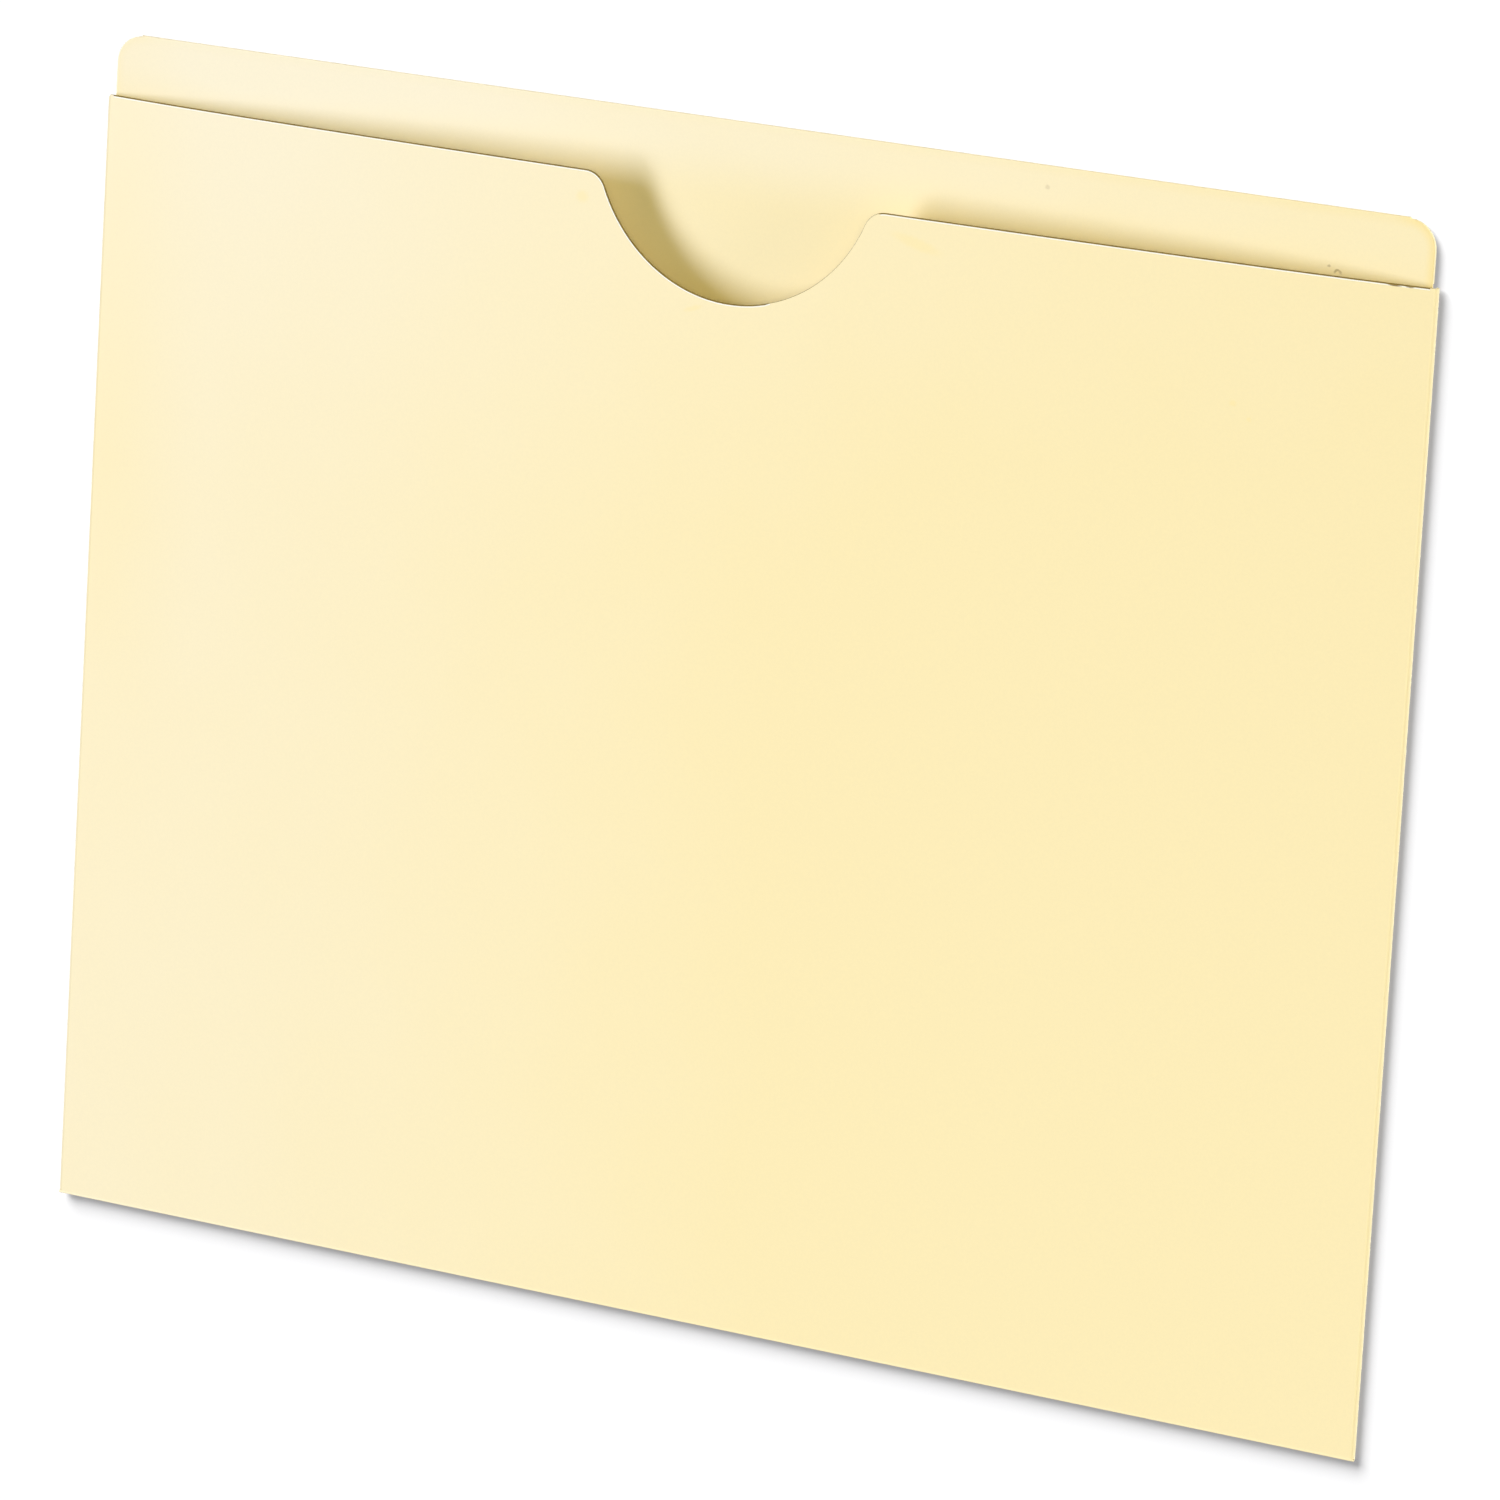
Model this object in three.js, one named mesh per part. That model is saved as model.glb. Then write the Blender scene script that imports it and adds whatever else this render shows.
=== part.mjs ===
// Letter-size manila file jacket: one die-cut sheet, creased and glued into a flat pocket.
// Millimetres, +Z up. X runs along the mouth, -Y is the front, and the jacket stands on its bottom fold.

import * as THREE from "three";

// Sheet and glue
const PAPER = 0.28;
const POCKET_GAP = 0.57;
const GLUE_FILM = 0.1;
const HINGE_GAP = 0.3;

// Front panel, from the bottom fold up to the mouth
const JACKET_WIDTH = 298.45;
const FRONT_HEIGHT = 228.6;

// Thumb notch in the middle of the mouth
const NOTCH_RADIUS = 31.75;
const NOTCH_DEPTH = 22.225;
const NOTCH_CORNER_RADIUS = 4.8;

// The front panel bows forward: an arch, and a flatter part that only turns back near the side folds
const MOUTH_ARCH = 4.5;
const MOUTH_SHOULDER = 1.3;
const SHOULDER_POWER = 8;

// Back panel and the tab along its top
const TAB_RISE = 12.7;
const TAB_CORNER_RADIUS = 6.35;
const BACK_INSET = 1.5;

// Reinforcement ply, folded down behind the tab
const PLY_HEIGHT = 25.4;
const PLY_CLEARANCE = 1.5;
const PLY_CORNER_RADIUS = 2;

// Flaps that wrap round the side folds on to the back
const FLAP_WIDTH = 19.05;
const FLAP_TOP_TAPER = 19.05;
const FLAP_BOTTOM_TAPER = 8;
const FLAP_CORNER_RADIUS = 3;

// Glue strips
const FLAP_GLUE_WIDTH = 9.5;
const FLAP_GLUE_MARGIN = 4;
const TAB_GLUE_HEIGHT = 12;
const TAB_GLUE_MARGIN = 12;
const TAB_GLUE_DROP = 4;
const GLUE_CORNER_RADIUS = 3;

// Fineness of the facets
const PANEL_ROWS = 12;
const STRAIGHT_STEPS = 16;
const NOTCH_STEPS = 36;
const CORNER_STEPS = 6;

// Layers from the front to the back, measured from the outer face of the front panel at its side folds
const BACK_FACE = PAPER + POCKET_GAP;
const FLAP_FACE = BACK_FACE + PAPER + GLUE_FILM;
const REAR_FACE = FLAP_FACE + PAPER;

// Each fold is a half tube around the layers that it joins
const SIDE_FOLD_RADIUS = REAR_FACE / 2;
const BOTTOM_FOLD_RADIUS = (BACK_FACE + PAPER) / 2;
const TAB_FOLD_RADIUS = (REAR_FACE - BACK_FACE) / 2;

// Lines that neighbours share
const SIDE_CREASE_X = JACKET_WIDTH / 2 - SIDE_FOLD_RADIUS;
const BACK_EDGE_X = JACKET_WIDTH / 2 - BACK_INSET;
const BOTTOM_CREASE_Z = BOTTOM_FOLD_RADIUS;
const TAB_CREASE_Z = FRONT_HEIGHT + TAB_RISE - TAB_FOLD_RADIUS;

const manila = new THREE.MeshStandardMaterial({ color: 0xfbf0c8, roughness: 0.8, metalness: 0 });
const manilaFold = new THREE.MeshStandardMaterial({ color: 0xf9edbe, roughness: 0.8, metalness: 0 });
const driedGlue = new THREE.MeshStandardMaterial({ color: 0xe9dfae, roughness: 0.45, metalness: 0 });

const jacket = new THREE.Group();

function addPiece(name, geometry, material) {
  const piece = new THREE.Mesh(geometry, material);
  piece.name = name;
  jacket.add(piece);
  return piece;
}

// A closed outline in the XZ plane whose corners [x, z, radius] run anticlockwise and are all convex.
function roundedOutline(corners) {
  const outline = new THREE.Shape();
  corners.forEach(([x, z, radius], i) => {
    const corner = new THREE.Vector2(x, z);
    const [beforeX, beforeZ] = corners.at(i - 1);
    const [afterX, afterZ] = corners[(i + 1) % corners.length];
    const toBefore = new THREE.Vector2(beforeX, beforeZ).sub(corner).normalize();
    const toAfter = new THREE.Vector2(afterX, afterZ).sub(corner).normalize();
    const halfAngle = toBefore.angleTo(toAfter) / 2;
    if (radius === 0) {
      outline[i ? "lineTo" : "moveTo"](x, z);
      return;
    }
    const inward = toBefore.clone().add(toAfter).normalize();
    const centre = corner.clone().addScaledVector(inward, radius / Math.sin(halfAngle));
    const reach = radius / Math.tan(halfAngle);
    const start = corner.clone().addScaledVector(toBefore, reach).sub(centre);
    const end = corner.clone().addScaledVector(toAfter, reach).sub(centre);
    if (i === 0) outline.moveTo(centre.x + start.x, centre.y + start.y);
    outline.absarc(centre.x, centre.y, radius, start.angle(), end.angle(), false);
  });
  outline.closePath();
  return outline;
}

// A flat layer: the outline in the XZ plane, from the frontY plane back by its thickness.
function layer(outline, frontY, thickness) {
  const options = { depth: thickness, bevelEnabled: false, curveSegments: CORNER_STEPS };
  return new THREE.ExtrudeGeometry(outline, options)
    .rotateX(Math.PI / 2)
    .translate(0, frontY + thickness, 0);
}

// The same outline on the other side of the jacket, kept anticlockwise.
function mirrored(corners) {
  return corners.map(([x, z, radius]) => [-x, z, radius]).reverse();
}

// A half tube of paper along its own Z axis that bulges towards its own +X.
function halfTube(outerRadius, length) {
  const ring = new THREE.Shape();
  ring.absarc(0, 0, outerRadius, -Math.PI / 2, Math.PI / 2, false);
  ring.absarc(0, 0, outerRadius - PAPER, Math.PI / 2, -Math.PI / 2, true);
  ring.closePath();
  return new THREE.ExtrudeGeometry(ring, { depth: length, bevelEnabled: false, curveSegments: CORNER_STEPS });
}

// How far the front panel stands forward of its side folds.
function bow(x, z) {
  const across = Math.abs(x) / SIDE_CREASE_X;
  const atMouth = MOUTH_ARCH * (1 - across ** 2) + MOUTH_SHOULDER * (1 - across ** SHOULDER_POWER);
  return (atMouth * z) / FRONT_HEIGHT;
}

// Points [x, z] of the mouth edge from left to right: straight, round corner, notch, round corner, straight.
function mouthEdge() {
  const centreRise = NOTCH_RADIUS - NOTCH_DEPTH;
  const cornerX = Math.sqrt(
    (NOTCH_RADIUS + NOTCH_CORNER_RADIUS) ** 2 - (centreRise + NOTCH_CORNER_RADIUS) ** 2,
  );
  const turn = Math.atan2(cornerX, centreRise + NOTCH_CORNER_RADIUS);
  const endX = SIDE_CREASE_X - HINGE_GAP;
  const half = [];
  for (let i = 0; i < STRAIGHT_STEPS; i += 1)
    half.push([endX + ((cornerX - endX) * i) / STRAIGHT_STEPS, FRONT_HEIGHT]);
  for (let i = 0; i < CORNER_STEPS; i += 1) {
    const angle = (turn * i) / CORNER_STEPS;
    half.push([
      cornerX - NOTCH_CORNER_RADIUS * Math.sin(angle),
      FRONT_HEIGHT - NOTCH_CORNER_RADIUS * (1 - Math.cos(angle)),
    ]);
  }
  for (let i = 0; i < NOTCH_STEPS / 2; i += 1) {
    const angle = turn * (1 - (2 * i) / NOTCH_STEPS);
    half.push([NOTCH_RADIUS * Math.sin(angle), FRONT_HEIGHT + centreRise - NOTCH_RADIUS * Math.cos(angle)]);
  }
  const left = half.map(([x, z]) => [-x, z]);
  return [...left, [0, FRONT_HEIGHT - NOTCH_DEPTH], ...half.reverse()];
}

// The bowed front panel: a grid of columns under the mouth edge, on both faces, closed round its rim.
function frontPanel() {
  const columns = mouthEdge();
  const bottom = BOTTOM_CREASE_Z + HINGE_GAP;
  const positions = [];
  const index = [];
  const perFace = columns.length * (PANEL_ROWS + 1);
  for (const depth of [0, PAPER])
    for (const [x, top] of columns)
      for (let row = 0; row <= PANEL_ROWS; row += 1) {
        const z = bottom + ((top - bottom) * row) / PANEL_ROWS;
        positions.push(x, depth - bow(x, z), z);
      }
  const front = (column, row) => column * (PANEL_ROWS + 1) + row;
  const back = (column, row) => perFace + front(column, row);
  const quad = (a, b, c, d) => index.push(a, b, c, a, c, d);
  const last = columns.length - 1;
  for (let c = 0; c < last; c += 1) {
    for (let r = 0; r < PANEL_ROWS; r += 1) {
      quad(front(c, r), front(c + 1, r), front(c + 1, r + 1), front(c, r + 1));
      quad(back(c, r), back(c, r + 1), back(c + 1, r + 1), back(c + 1, r));
    }
    quad(front(c, 0), back(c, 0), back(c + 1, 0), front(c + 1, 0));
    quad(front(c, PANEL_ROWS), front(c + 1, PANEL_ROWS), back(c + 1, PANEL_ROWS), back(c, PANEL_ROWS));
  }
  for (let r = 0; r < PANEL_ROWS; r += 1) {
    quad(front(0, r), front(0, r + 1), back(0, r + 1), back(0, r));
    quad(front(last, r), back(last, r), back(last, r + 1), front(last, r + 1));
  }
  const geometry = new THREE.BufferGeometry();
  geometry.setAttribute("position", new THREE.Float32BufferAttribute(positions, 3));
  geometry.setIndex(index);
  geometry.computeVertexNormals();
  return geometry;
}

// Back panel with the full-width tab: its two top corners are rounded.
function backPanelCorners() {
  return [
    [-BACK_EDGE_X, BOTTOM_CREASE_Z, 0],
    [BACK_EDGE_X, BOTTOM_CREASE_Z, 0],
    [BACK_EDGE_X, TAB_CREASE_Z, TAB_CORNER_RADIUS],
    [-BACK_EDGE_X, TAB_CREASE_Z, TAB_CORNER_RADIUS],
  ];
}

// Right-hand glue flap, tapered at both ends so that it clears the bottom fold and the tab's ply.
function flapCorners() {
  const inner = SIDE_CREASE_X - FLAP_WIDTH;
  return [
    [SIDE_CREASE_X, BOTTOM_CREASE_Z, 0],
    [SIDE_CREASE_X, FRONT_HEIGHT, 0],
    [inner, FRONT_HEIGHT - FLAP_TOP_TAPER, FLAP_CORNER_RADIUS],
    [inner, BOTTOM_CREASE_Z + FLAP_BOTTOM_TAPER, FLAP_CORNER_RADIUS],
  ];
}

// Ply behind the tab: its ends are cut parallel to the tapers of the flaps below it.
function plyCorners() {
  const slope = FLAP_TOP_TAPER / FLAP_WIDTH;
  const lower = FRONT_HEIGHT + TAB_RISE - PLY_HEIGHT;
  const shoulder = FRONT_HEIGHT - slope * (SIDE_CREASE_X - BACK_EDGE_X) + PLY_CLEARANCE;
  const lowerX = BACK_EDGE_X - (shoulder - lower) / slope;
  return [
    [-lowerX, lower, PLY_CORNER_RADIUS],
    [lowerX, lower, PLY_CORNER_RADIUS],
    [BACK_EDGE_X, shoulder, 0],
    [BACK_EDGE_X, TAB_CREASE_Z, TAB_CORNER_RADIUS],
    [-BACK_EDGE_X, TAB_CREASE_Z, TAB_CORNER_RADIUS],
    [-BACK_EDGE_X, shoulder, 0],
  ];
}

// Right-hand glue strip, in the middle of the flap's width and clear of its tapers.
function flapGlueCorners() {
  const middle = SIDE_CREASE_X - FLAP_WIDTH / 2;
  const outer = middle + FLAP_GLUE_WIDTH / 2;
  const inner = middle - FLAP_GLUE_WIDTH / 2;
  const lower = BOTTOM_CREASE_Z + FLAP_BOTTOM_TAPER + FLAP_GLUE_MARGIN;
  const upper = FRONT_HEIGHT - FLAP_TOP_TAPER - FLAP_GLUE_MARGIN;
  return [
    [inner, lower, GLUE_CORNER_RADIUS],
    [outer, lower, GLUE_CORNER_RADIUS],
    [outer, upper, GLUE_CORNER_RADIUS],
    [inner, upper, GLUE_CORNER_RADIUS],
  ];
}

// Glue strip along the tab, between the back panel and its ply.
function tabGlueCorners() {
  const end = BACK_EDGE_X - TAB_GLUE_MARGIN;
  const upper = TAB_CREASE_Z - TAB_GLUE_DROP;
  const lower = upper - TAB_GLUE_HEIGHT;
  return [
    [-end, lower, GLUE_CORNER_RADIUS],
    [end, lower, GLUE_CORNER_RADIUS],
    [end, upper, GLUE_CORNER_RADIUS],
    [-end, upper, GLUE_CORNER_RADIUS],
  ];
}

// Panels and ply
addPiece("front_panel", frontPanel(), manila);
addPiece("back_panel", layer(roundedOutline(backPanelCorners()), BACK_FACE, PAPER), manila);
addPiece("tab_reinforcement_ply", layer(roundedOutline(plyCorners()), FLAP_FACE, PAPER), manila);

// Folds
const bottomFold = addPiece("bottom_fold", halfTube(BOTTOM_FOLD_RADIUS, 2 * BACK_EDGE_X), manilaFold);
bottomFold.rotation.y = Math.PI / 2;
bottomFold.position.set(-BACK_EDGE_X, BOTTOM_FOLD_RADIUS, BOTTOM_CREASE_Z);

const tabFoldEnd = BACK_EDGE_X - TAB_CORNER_RADIUS;
const tabFold = addPiece("tab_top_fold", halfTube(TAB_FOLD_RADIUS, 2 * tabFoldEnd), manilaFold);
tabFold.rotation.y = -Math.PI / 2;
tabFold.position.set(tabFoldEnd, BACK_FACE + TAB_FOLD_RADIUS, TAB_CREASE_Z);

const sideFoldLength = FRONT_HEIGHT - BOTTOM_CREASE_Z;
const rightFold = addPiece("right_side_fold", halfTube(SIDE_FOLD_RADIUS, sideFoldLength), manilaFold);
rightFold.position.set(SIDE_CREASE_X, SIDE_FOLD_RADIUS, BOTTOM_CREASE_Z);

const leftFold = addPiece("left_side_fold", halfTube(SIDE_FOLD_RADIUS, sideFoldLength), manilaFold);
leftFold.rotation.z = Math.PI;
leftFold.position.set(-SIDE_CREASE_X, SIDE_FOLD_RADIUS, BOTTOM_CREASE_Z);

// Flaps and glue, right and left
for (const [side, corners, glueCorners] of [
  ["right", flapCorners(), flapGlueCorners()],
  ["left", mirrored(flapCorners()), mirrored(flapGlueCorners())],
]) {
  addPiece(`${side}_glue_flap`, layer(roundedOutline(corners), FLAP_FACE, PAPER), manila);
  addPiece(`${side}_flap_glue`, layer(roundedOutline(glueCorners), BACK_FACE + PAPER, GLUE_FILM), driedGlue);
}
addPiece("tab_glue", layer(roundedOutline(tabGlueCorners()), BACK_FACE + PAPER, GLUE_FILM), driedGlue);

// The origin is the bottom centre of the whole jacket.
const bounds = new THREE.Box3().setFromObject(jacket);
jacket.position.y = -(bounds.min.y + bounds.max.y) / 2;

export default jacket;
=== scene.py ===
"""Manila file jacket: its bowed front, back, folds, flaps and glue, their finishes, and a plain studio."""

import math

import bmesh
import bpy
from mathutils import Matrix, Vector, noise


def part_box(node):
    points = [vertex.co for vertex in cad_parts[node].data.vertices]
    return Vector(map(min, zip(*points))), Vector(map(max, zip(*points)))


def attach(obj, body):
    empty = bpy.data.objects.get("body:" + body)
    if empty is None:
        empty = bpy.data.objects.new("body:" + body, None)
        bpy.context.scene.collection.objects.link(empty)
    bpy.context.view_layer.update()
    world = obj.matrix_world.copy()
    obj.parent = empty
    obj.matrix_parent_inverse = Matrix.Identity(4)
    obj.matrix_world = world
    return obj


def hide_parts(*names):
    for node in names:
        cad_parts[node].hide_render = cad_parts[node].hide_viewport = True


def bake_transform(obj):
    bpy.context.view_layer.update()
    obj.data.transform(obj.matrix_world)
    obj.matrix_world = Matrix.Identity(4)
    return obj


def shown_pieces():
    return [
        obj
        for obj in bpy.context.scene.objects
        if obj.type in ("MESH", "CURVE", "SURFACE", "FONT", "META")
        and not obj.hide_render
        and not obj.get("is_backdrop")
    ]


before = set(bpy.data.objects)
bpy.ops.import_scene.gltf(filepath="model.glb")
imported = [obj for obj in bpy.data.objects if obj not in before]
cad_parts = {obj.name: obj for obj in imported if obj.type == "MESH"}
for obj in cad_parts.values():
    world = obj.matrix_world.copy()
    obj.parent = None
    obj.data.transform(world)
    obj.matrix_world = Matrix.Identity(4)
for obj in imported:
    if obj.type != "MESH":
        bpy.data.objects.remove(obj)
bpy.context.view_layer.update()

bl_info = {
    "name": "Manila File Jacket",
    "version": (1, 0, 0),
    "blender": (4, 5, 0),
    "location": "3D View > Sidebar > Jacket",
    "description": "Builds a flat manila file jacket with a thumb notch and a reinforced tab",
    "category": "Add Mesh",
}

MM = 0.001

# Lines that neighbours share, read from the frame
side_low, side_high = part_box("right_side_fold")
bottom_low, bottom_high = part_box("bottom_fold")
back_low, back_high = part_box("back_panel")
tab_fold_low, tab_fold_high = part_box("tab_top_fold")
ply_low, ply_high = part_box("tab_reinforcement_ply")
SIDE_CREASE = side_low.x
FOLD_FRONT = side_low.y
BOTTOM_CREASE = bottom_high.z
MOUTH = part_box("front_panel")[1].z
BACK_EDGE = back_high.x
TAB_CREASE = back_high.z
FLAP_INNER_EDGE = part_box("right_glue_flap")[0].x
PAPER = back_high.y - back_low.y

# Fineness of the meshes, how near points are joined, and the angle from which an edge is shaded sharp
FRONT_ROWS = 36
STRAIGHT_STEPS = 30
NOTCH_STEPS = 28
CORNER_STEPS = 10
FOLD_STEPS = 20
FOLD_ROWS = 60
WELD = 0.0001 * MM
SHARP_ANGLE = math.radians(65)

# Where a cut edge is roundest, as shares of the paper's thickness
ROUND_SHARES = (0.25, 0.75)

# Sine of the angle below which two edges of an outline count as one line
NEARLY_STRAIGHT = 1e-4

# Slope of the mouth's edge above which its painted highlight ends and its painted shade line narrows
STEEP = 0.3

# Slow waves of the front panel: how many to a metre, and the layer of the noise that they come from
WAVE_RATE = 14
WAVE_LAYER = 3.7

# Places of the finishes in a sheet's material slots
FACE = 0
# Strip along a cut edge that takes the painted highlight
EDGE_HIGHLIGHT = 1
CUT_EDGE = 2
# Inner faces, which take a darker finish as painted shade
INNER_FACE = 3

# Small marks of handling: centre across and up, half width and half height in millimetres, turn in degrees,
# and strength
FRONT_SMEARS = (
    (40.5, 223.6, 6.0, 1.3, 14, 0.24),
    (-34.2, 223.2, 1.6, 1.4, 0, 0.25),
    (-8.1, 204.4, 2.4, 0.6, -20, 0.25),
    (109.5, 201.7, 0.9, 0.7, 0, 0.3),
    (113.0, 199.0, 0.6, 0.5, 0, 0.3),
)
TORN_FIBRES = (
    (140.6, 228.4, 1.5, 0.4, 4, 0.9),
    (143.8, 228.4, 1.1, 0.35, 0, 0.8),
)
TAB_SPECKS = (
    (65.0, 237.1, 0.6, 0.5, 0, 0.2),
    (125.9, 229.9, 0.45, 0.35, 0, 0.4),
    (127.45, 229.1, 0.75, 0.3, -38, 0.5),
    (128.25, 229.05, 0.75, 0.3, 42, 0.4),
)

# How far the outline of a mark strays
RAGGED_REACH = 0.6 * MM

# Painted light and shade on the manila: from where to where on the sheet, and from which share to which
# Painted light: the sheet paler to the left and warmer to the right, and how much of its paler top is kept
# across
PAINTED_LIGHT_ACROSS = (-0.15, 0.07, 0.3, 1.0)
PAINTED_LIGHT_HELD_ACROSS = (0.04, 0.15, 1.0, 0.5)
# Painted shade: the sheet warmer along its left side, more towards the top
PAINTED_SHADE_LEFT_SIDE = (-0.148, -0.118, 0.34, 0.0)
PAINTED_SHADE_LEFT_HEIGHT = (0.02, 0.2)
# Painted shade: where a finish's level changes from its left side to its middle
PAINTED_SHADE_ACROSS = (-0.15, 0.0)
# Painted shade: a warmer band along the tab's edges, most at the right and fading past the corners
EDGE_SHADE_ACROSS = (0.0, 0.14, 0.15)
EDGE_SHADE_PAST_CORNER = (-4.0 * MM, 2.0 * MM, 0.3, 1.0)

# Heights between which painted light makes a sheet paler, and by how much; on the tab it starts just below
# the mouth, so the band just above the mouth, where the lip's shade falls, stays warmer as painted shade
PAINTED_LIGHT_UPWARD = (0.14, 0.245, 0.36)
PAINTED_LIGHT_UPWARD_TAB = (0.224, 0.237, 0.46)

# Fineness of the unevenness in the finishes, in grains to a metre
CLOUDS = 30.0
FIBRES = 1800.0
RAGGED_OUTLINES = 1500.0
EDGE_GRAINS = 900.0
GLUE_POOLS = 120.0
STAGE_CLOUDS = 3.0

# How dark thick glue is beside thin glue
THICK_GLUE = 0.85

# How much the clouds make the manila paler or warmer
CLOUD_DRIFT = 0.2

# How light the manila's fibres and the stage's clouds are, and how rough the manila and the glue, from and to
FIBRE_SHADE = (0.985, 1.0)
STAGE_SHADE = (0.99, 1.0)
MANILA_ROUGHNESS = (0.68, 0.82)
GLUE_ROUGHNESS = (0.35, 0.5)

# Where a mark starts to fade and where it ends, as shares of its half width and half height
MARK_FADE = (0.4, 1.2)

# Middle part of an unevenness, over which a finish changes
MIDDLE = (0.3, 0.7)
NARROW_MIDDLE = (0.35, 0.65)
WIDE_MIDDLE = (0.2, 0.8)

# Far lamps: angle round the jacket, angle above the floor, and how wide they look, in degrees
FRONT_LAMP = (30, 12, 20)
SIDE_LAMP = (88, 0, 30)
REAR_LAMP = (175, 15, 60)
TOP_LAMP = (0, 80, 40)
FOOT_LAMP = (20, -60, 40)
FLOOR_LAMP = (-20, 80, 10)
BOARD_LAMP = (-30, 46, 48)
LAMP_DISTANCE = 1.0
SOFT_BOX_DISTANCE = 30.0

# The floor, and the board that stands just behind the jacket and reaches a little below the floor
FLOOR_REACH = 2.5
FLOOR_FRONT_GAP = 22.0 * MM
BOARD_GAP = 1.0 * MM
BOARD_HALF_WIDTH = 0.6
BOARD_DROP = 30.0 * MM
BOARD_RISE = 0.6

# How much of its own colour a stage surface takes from its lamp, and how brightly the camera sees it glow
STAGE_GAIN = 0.12
FLOOR_GLOW = 0.33
BOARD_GLOW = 0.36
GLOW_TINT = (0.95, 0.95, 1.0, 1.0)


def srgb(red, green, blue):
    """A colour given as 0 to 255 on screen, as scene-linear numbers."""
    shares = (red / 255, green / 255, blue / 255)
    return tuple(c / 12.92 if c <= 0.04045 else ((c + 0.055) / 1.055) ** 2.4 for c in shares)


def length(name, description, default):
    """A size in metres that the sidebar shows with its unit."""
    return bpy.props.FloatProperty(
        name=name, description=description, default=default, precision=5, subtype="DISTANCE", unit="LENGTH"
    )


def colour(name, description, default):
    """A colour that the sidebar shows as a swatch."""
    return bpy.props.FloatVectorProperty(
        name=name, description=description, default=default, size=3, min=0.0, max=1.0, subtype="COLOR"
    )


def angle(name, description, default):
    """An angle that the sidebar shows in degrees."""
    return bpy.props.FloatProperty(
        name=name, description=description, default=math.radians(default), subtype="ANGLE", unit="ROTATION"
    )


def number(name, description, default):
    """A plain number."""
    return bpy.props.FloatProperty(name=name, description=description, default=default)


class JacketSizes(bpy.types.PropertyGroup):
    """Sizes of the sheet, in metres."""

    mouth_arch: length("Mouth Arch", "How far the mouth arches forward of its side folds", 4.5 * MM)
    mouth_shoulder: length("Mouth Shoulder", "Extra reach of the flatter middle of the mouth", 1.3 * MM)
    shoulder_power: number("Shoulder Power", "How late the shoulder turns back to the side folds", 8.0)
    notch_radius: length("Notch Radius", "Radius of the thumb notch", 31.75 * MM)
    notch_depth: length("Notch Depth", "Depth of the thumb notch below the mouth", 22.225 * MM)
    notch_corner: length("Notch Corner", "Radius of the notch's two upper corners", 4.8 * MM)
    tab_corner: length("Tab Corner", "Radius of the tab's two upper corners", 5.6 * MM)
    # Painted shade: width of the warmer band along the tab's top fold, sides and corners
    edge_shade_width: length("Rubbed Edge", "Width of the warmer band along the tab's rubbed edges", 2.2 * MM)
    flap_top_taper: length("Flap Top Taper", "Height of the slanted upper end of a flap", 19.05 * MM)
    flap_bottom_taper: length("Flap Bottom Taper", "Height of the slanted lower end of a flap", 8.0 * MM)
    flap_corner: length("Flap Corner", "Radius of a flap's two free corners", 3.0 * MM)
    ply_clearance: length("Ply Clearance", "Gap between the ply's slanted ends and the flaps", 1.5 * MM)
    ply_corner: length("Ply Corner", "Radius of the ply's two lower corners", 2.0 * MM)
    glue_corner: length("Glue Corner", "Radius of a glue strip's corners", 3.0 * MM)
    worn_corner: length("Worn Corner", "How far the left side fold is rubbed back at the mouth", 1.8 * MM)
    corner_step: length("Corner Step", "How far inside the side folds the bottom fold ends", 0.12 * MM)
    edge_bulge: length("Edge Bulge", "How far a cut edge rounds out", 0.04 * MM)
    # Painted shade: the dark burr along the front's cut edges, narrower on the right side of the notch
    edge_shade_line: length("Edge Burr", "Width of the dark burr along a cut edge", 0.2 * MM)
    faint_shade_line: number("Faint Burr", "Share of the burr's width on the right side of the notch", 0.2)
    # Painted highlight: width of the pale line along cut edges
    edge_highlight: length("Edge Line", "Width of the pale line that a knife presses along a cut edge", 0.25 * MM)
    waviness: length("Waviness", "Height of the slow waves in the front panel", 0.12 * MM)


class JacketColours(bpy.types.PropertyGroup):
    """Colours of the sheet, the glue and the stage."""

    # The manila's palest and yellowest tones, between which painted light and the clouds mix
    manila_pale: colour("Pale Manila", "Manila where it is palest", srgb(254, 245, 215))
    manila_warm: colour("Warm Manila", "Manila where it is yellowest", srgb(255, 239, 185))
    # Painted shade: colour of the band along the tab's edges
    manila_edge_shade: colour("Rubbed Manila", "Manila along the tab's rubbed edges", srgb(255, 233, 160))
    # Painted highlight: colour of the pale line along cut edges
    edge_highlight: colour("Edge Line", "The line pressed along a cut edge", srgb(255, 252, 236))
    # Painted shade: the front's cut edge and the thin strip beside it, darker than the paper
    cut_edge_shade: colour("Cut Edge", "The core of the sheet where it is cut", srgb(140, 119, 54))
    smear: colour("Smear", "Faint yellow smears", srgb(252, 230, 146))
    speck: colour("Speck", "Small specks and torn fibres", srgb(136, 110, 46))
    glue: colour("Glue", "Dried glue", srgb(233, 223, 174))
    floor: colour("Floor", "The floor and the board behind the jacket", srgb(250, 250, 250))


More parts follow.
